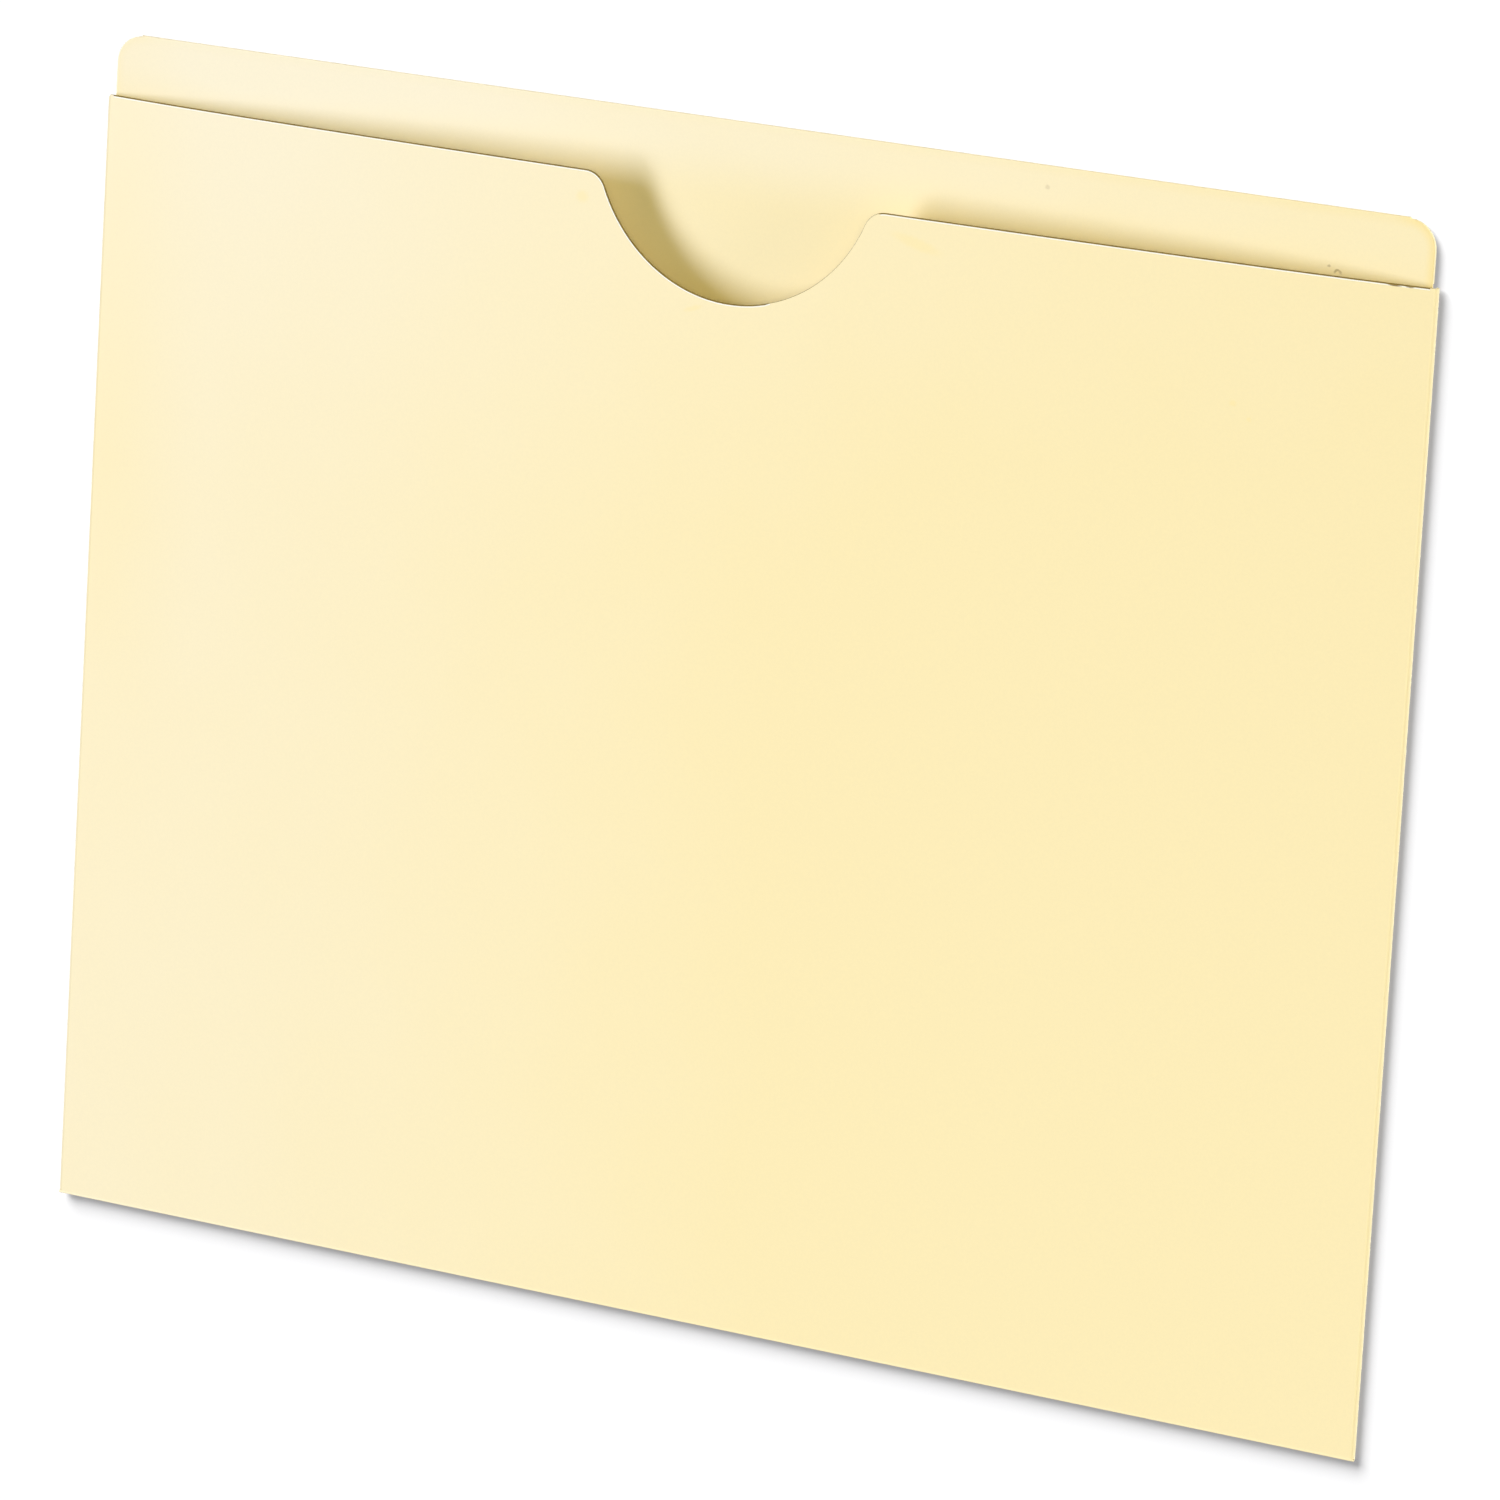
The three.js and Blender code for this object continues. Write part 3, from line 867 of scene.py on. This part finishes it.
class JACKET_OT_folds(bpy.types.Operator):
    """Build the folds along the bottom, the two sides and the top of the tab"""

    bl_idname = "jacket.folds"
    bl_label = "Folds"

    def execute(self, context):
        sizes = context.scene.jacket_sizes
        colours = context.scene.jacket_colours
        # Folds take a little warmer finish as painted shade
        bottom_finishes = sheet_finishes(colours, face="shaded_fold_manila")
        # Side folds: warmer, and darker at the left, as painted shade
        side_finishes = sheet_finishes(colours, face="shaded_side_manila")
        side_centre = (side_low.y + side_high.y) / 2
        for name, side, worn in (("right", 1, 0.0), ("left", -1, sizes.worn_corner)):
            centre = (side * SIDE_CREASE, side_centre)
            turn = -math.pi / 2 if side > 0 else math.pi / 2
            node = f"{name}_side_fold"
            half_tube(f"{name}_fold", node, "z", side_low.z, side_high.z, centre, turn, side_finishes, worn)
        centre = (BOTTOM_CREASE, (bottom_low.y + bottom_high.y) / 2)
        reach = side_high.x - sizes.corner_step
        half_tube("lower_fold", "bottom_fold", "x", -reach, reach, centre, math.pi / 2, bottom_finishes)
        centre = (TAB_CREASE, (tab_fold_low.y + tab_fold_high.y) / 2)
        reach = BACK_EDGE - sizes.tab_corner
        tab_finishes = sheet_finishes(colours, face="back_manila")
        half_tube("tab_fold", "tab_top_fold", "x", -reach, reach, centre, -math.pi / 2, tab_finishes)
        return {"FINISHED"}


class JACKET_OT_flaps(bpy.types.Operator):
    """Build the two flaps that are glued to the outside of the back"""

    bl_idname = "jacket.flaps"
    bl_label = "Glue Flaps"

    def execute(self, context):
        sizes = context.scene.jacket_sizes
        finishes = sheet_finishes(context.scene.jacket_colours)
        for name, worn in (("right", 0.0), ("left", sizes.worn_corner)):
            outline = [
                (SIDE_CREASE, BOTTOM_CREASE, 0.0, True),
                (SIDE_CREASE, MOUTH - worn, 0.0, False),
                (FLAP_INNER_EDGE, MOUTH - sizes.flap_top_taper, sizes.flap_corner, False),
                (FLAP_INNER_EDGE, BOTTOM_CREASE + sizes.flap_bottom_taper, sizes.flap_corner, False),
            ]
            if name == "left":
                outline = mirrored(outline)
            piece = flat_layer(f"{name}_flap", outline, f"{name}_glue_flap", sizes, finishes)
        return {"FINISHED"}


class JACKET_OT_ply(bpy.types.Operator):
    """Build the ply that is folded down behind the tab"""

    bl_idname = "jacket.ply"
    bl_label = "Tab Ply"

    def execute(self, context):
        sizes = context.scene.jacket_sizes
        finishes = sheet_finishes(context.scene.jacket_colours)
        slope = sizes.flap_top_taper / (SIDE_CREASE - FLAP_INNER_EDGE)
        shoulder = MOUTH - slope * (SIDE_CREASE - BACK_EDGE) + sizes.ply_clearance
        lower = ply_low.z
        lower_x = BACK_EDGE - (shoulder - lower) / slope
        corners = [
            (-lower_x, lower, sizes.ply_corner, False),
            (lower_x, lower, sizes.ply_corner, False),
            (BACK_EDGE, shoulder, 0.0, False),
            (BACK_EDGE, TAB_CREASE, sizes.tab_corner, True),
            (-BACK_EDGE, TAB_CREASE, sizes.tab_corner, False),
            (-BACK_EDGE, shoulder, 0.0, False),
        ]
        piece = flat_layer("tab_ply", corners, "tab_reinforcement_ply", sizes, finishes)
        return {"FINISHED"}


class JACKET_OT_glue(bpy.types.Operator):
    """Build the strips of dried glue under the flaps and the ply"""

    bl_idname = "jacket.glue"
    bl_label = "Glue Strips"

    def execute(self, context):
        sizes = context.scene.jacket_sizes
        finish = finish_named("glue_film", context.scene.jacket_colours)
        for name in ("right_flap_glue", "left_flap_glue", "tab_glue"):
            low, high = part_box(name)
            radius = sizes.glue_corner
            corners = [
                (low.x, low.z, radius, False),
                (high.x, low.z, radius, False),
                (high.x, high.z, radius, False),
                (low.x, high.z, radius, False),
            ]
            piece = flat_layer(f"{name}_film", corners, name, sizes, [finish] * 3)
        return {"FINISHED"}


def stage_finish(name, tone, glow, one_sided=False):
    """A pale stage surface that stays white where the camera sees it lit, and keeps the jacket's shadow."""
    material = bpy.data.materials.new(name)
    material.use_nodes = True
    tree = material.node_tree
    tree.nodes.remove(tree.nodes["Principled BSDF"])
    output = tree.nodes["Material Output"]
    place = add_node(tree, "ShaderNodeTexCoord").outputs["Object"]
    shade = ramp(tree, grain(tree, place, STAGE_CLOUDS), *WIDE_MIDDLE, *STAGE_SHADE)
    toned = mixed(tree, 1.0, tuple(share * STAGE_GAIN for share in tone), shade, "MULTIPLY")
    diffuse = add_node(tree, "ShaderNodeBsdfDiffuse", {"Color": toned})
    light = add_node(tree, "ShaderNodeEmission", {"Color": GLOW_TINT})
    seen = add_node(tree, "ShaderNodeLightPath").outputs["Is Camera Ray"]
    tree.links.new(math_node(tree, "MULTIPLY", seen, glow), light.inputs["Strength"])
    surface = add_node(tree, "ShaderNodeAddShader", {0: diffuse.outputs[0], 1: light.outputs[0]})
    if one_sided:
        behind = add_node(tree, "ShaderNodeNewGeometry").outputs["Backfacing"]
        clear = add_node(tree, "ShaderNodeBsdfTransparent")
        inputs = {0: behind, 1: surface.outputs[0], 2: clear.outputs[0]}
        surface = add_node(tree, "ShaderNodeMixShader", inputs)
    tree.links.new(surface.outputs[0], output.inputs["Surface"])
    return material


def level_quad(left, right, front, back):
    """Corners of a rectangle on the floor."""
    return [(left, front, 0), (right, front, 0), (right, back, 0), (left, back, 0)]


def stage_sheet(name, corners, finish):
    """Flat surfaces that only the camera sees, each given by four corners."""
    mesh = bpy.data.meshes.new(name)
    mesh.from_pydata(corners, [], [range(first, first + 4) for first in range(0, len(corners), 4)])
    mesh.materials.append(finish)
    surface = bpy.data.objects.new(name, mesh)
    bpy.context.scene.collection.objects.link(surface)
    surface.visible_diffuse = False
    surface.visible_glossy = False
    surface.visible_transmission = False
    surface.visible_shadow = False
    surface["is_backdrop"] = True
    return surface


def direction(azimuth, elevation):
    """Unit vector from the jacket towards a place given by its angle round the jacket and above the floor."""
    level = math.cos(elevation)
    return Vector((math.sin(azimuth) * level, -math.cos(azimuth) * level, math.sin(elevation)))


def place_lamp(light, towards, distance, lights):
    """Stands a light off in a direction, turned to the jacket, for the given pieces only."""
    lamp = bpy.data.objects.new(light.name, light)
    lamp.location = Vector((0, 0, MOUTH / 2)) + towards * distance
    lamp.rotation_mode = "QUATERNION"
    lamp.rotation_quaternion = towards.to_track_quat("Z", "Y")
    bpy.context.scene.collection.objects.link(lamp)
    lit = bpy.data.collections.new(f"{light.name}_lights")
    for piece in lights:
        lit.objects.link(piece)
    lamp.light_linking.receiver_collection = lit


def far_lamp(name, angles, strength, lights, tint=(1.0, 1.0, 1.0)):
    """A round soft light, far off; at strength 1 a white sheet facing it is just white."""
    azimuth, elevation, spread = (math.radians(degrees) for degrees in angles)
    light = bpy.data.lights.new(name, "SUN")
    light.angle = spread
    light.energy = strength * math.pi
    light.color = tint
    place_lamp(light, direction(azimuth, elevation), LAMP_DISTANCE, lights)


def soft_box(name, place, spread, strength, tint, lights):
    """A tall soft box, far off, at two angles and as wide and as high as two more."""
    width, height = spread
    light = bpy.data.lights.new(name, "AREA")
    light.shape = "RECTANGLE"
    light.size = 2 * SOFT_BOX_DISTANCE * math.tan(width / 2)
    light.size_y = 2 * SOFT_BOX_DISTANCE * math.tan(height / 2)
    light.energy = strength * (math.pi * SOFT_BOX_DISTANCE) ** 2
    light.color = tint
    place_lamp(light, direction(*place), SOFT_BOX_DISTANCE, lights)


class JACKET_OT_studio(bpy.types.Operator):
    """Build the floor, the board behind the jacket, the lights and the camera"""

    bl_idname = "jacket.studio"
    bl_label = "Studio"

    def execute(self, context):
        studio = context.scene.jacket_studio
        pieces = list(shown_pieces())
        floor, board = self.build_stage(context)
        self.build_lamps(studio, pieces, floor, board)
        self.build_world(context, studio)
        self.build_camera(context, studio)
        context.scene.view_settings.view_transform = "Standard"
        return {"FINISHED"}

    def build_stage(self, context):
        """The floor in front of the jacket, under it and behind the board, and the board."""
        tone = tuple(context.scene.jacket_colours.floor)
        floor_finish = stage_finish("floor_paint", tone, FLOOR_GLOW)
        board_finish = stage_finish("board_paint", tone, BOARD_GLOW, one_sided=True)
        board_y = ply_high.y + BOARD_GAP
        floor_corners = [
            *level_quad(-FLOOR_REACH, FLOOR_REACH, -FLOOR_REACH, -FLOOR_FRONT_GAP),
            *level_quad(-FLOOR_REACH, FLOOR_REACH, board_y, FLOOR_REACH),
            *level_quad(-side_high.x, side_high.x, (side_low.y + side_high.y) / 2, board_y),
        ]
        floor = stage_sheet("floor", floor_corners, floor_finish)
        board_corners = [
            (-BOARD_HALF_WIDTH, board_y, -BOARD_DROP),
            (BOARD_HALF_WIDTH, board_y, -BOARD_DROP),
            (BOARD_HALF_WIDTH, board_y, BOARD_RISE),
            (-BOARD_HALF_WIDTH, board_y, BOARD_RISE),
        ]
        return floor, stage_sheet("board", board_corners, board_finish)

    def build_lamps(self, studio, pieces, floor, board):
        """The jacket's lamps, one for its bottom fold alone, and one each for the floor and the board."""
        lower_fold = bpy.data.objects["lower_fold"]
        key_tint = tuple(studio.key_tint)
        fill_tint = tuple(studio.fill_tint)
        cool_tint = tuple(studio.cool_tint)
        place = (studio.key_azimuth, studio.key_elevation)
        spread = (studio.key_width, studio.key_height)
        soft_box("key", place, spread, studio.key, key_tint, pieces)
        far_lamp("front_lamp", FRONT_LAMP, studio.front, pieces, fill_tint)
        far_lamp("side_lamp", SIDE_LAMP, studio.side, pieces, key_tint)
        far_lamp("rear_lamp", REAR_LAMP, studio.rear, pieces, cool_tint)
        far_lamp("top_lamp", TOP_LAMP, studio.top, pieces, cool_tint)
        far_lamp("foot_lamp", FOOT_LAMP, studio.foot, [lower_fold], cool_tint)
        far_lamp("floor_lamp", FLOOR_LAMP, studio.floor_lamp, [floor])
        far_lamp("board_lamp", BOARD_LAMP, studio.board_lamp, [board])

    def build_world(self, context, studio):
        """Even light from all round, and white where the camera sees past the stage."""
        world = bpy.data.worlds.new("plain_studio")
        context.scene.world = world
        world.use_nodes = True
        tree = world.node_tree
        even = tree.nodes["Background"]
        even.inputs["Color"].default_value = (*studio.fill_tint, 1)
        even.inputs["Strength"].default_value = studio.fill
        white = add_node(tree, "ShaderNodeBackground", {"Color": (1, 1, 1, 1), "Strength": 1.0})
        seen = add_node(tree, "ShaderNodeLightPath").outputs["Is Camera Ray"]
        blend = add_node(tree, "ShaderNodeMixShader", {0: seen, 1: even.outputs[0], 2: white.outputs[0]})
        tree.links.new(blend.outputs[0], tree.nodes["World Output"].inputs["Surface"])

    def build_camera(self, context, studio):
        """The camera that sees the jacket as the photograph does."""
        lens = bpy.data.cameras.new("camera")
        lens.sensor_width = 36.0
        lens.lens = studio.lens
        lens.clip_start = 0.05
        lens.clip_end = 50.0
        camera = bpy.data.objects.new("camera", lens)
        towards = direction(studio.azimuth, studio.elevation)
        camera.location = Vector((studio.aim_x, FOLD_FRONT, studio.aim_z)) + towards * studio.distance
        turned = Matrix.Rotation(studio.roll, 4, "Z")
        level = towards.to_track_quat("Z", "Y").to_matrix().to_4x4()
        camera.rotation_euler = (level @ turned).to_euler()
        context.scene.collection.objects.link(camera)
        context.scene.camera = camera


OPERATORS = (
    JACKET_OT_front,
    JACKET_OT_back,
    JACKET_OT_folds,
    JACKET_OT_flaps,
    JACKET_OT_ply,
    JACKET_OT_glue,
    JACKET_OT_studio,
)


class JACKET_PT_sidebar(bpy.types.Panel):
    """Lists the jacket's pieces, sizes and colours"""

    bl_idname = "JACKET_PT_sidebar"
    bl_label = "Manila File Jacket"
    bl_space_type = "VIEW_3D"
    bl_region_type = "UI"
    bl_category = "Jacket"

    def draw(self, context):
        for operator in OPERATORS:
            self.layout.operator(operator.bl_idname)
        scene = context.scene
        for group in (scene.jacket_sizes, scene.jacket_colours, scene.jacket_studio):
            box = self.layout.box()
            for name in group.__annotations__:
                box.prop(group, name)


CLASSES = (JacketSizes, JacketColours, JacketStudio, *OPERATORS, JACKET_PT_sidebar)


def register():
    for made in CLASSES:
        bpy.utils.register_class(made)
    bpy.types.Scene.jacket_sizes = bpy.props.PointerProperty(type=JacketSizes)
    bpy.types.Scene.jacket_colours = bpy.props.PointerProperty(type=JacketColours)
    bpy.types.Scene.jacket_studio = bpy.props.PointerProperty(type=JacketStudio)


def unregister():
    del bpy.types.Scene.jacket_studio
    del bpy.types.Scene.jacket_colours
    del bpy.types.Scene.jacket_sizes
    for made in reversed(CLASSES):
        bpy.utils.unregister_class(made)


def main():
    register()
    bpy.ops.jacket.front()
    bpy.ops.jacket.back()
    bpy.ops.jacket.folds()
    bpy.ops.jacket.flaps()
    bpy.ops.jacket.ply()
    bpy.ops.jacket.glue()
    bpy.ops.jacket.studio()


if __name__ == "__main__":
    main()
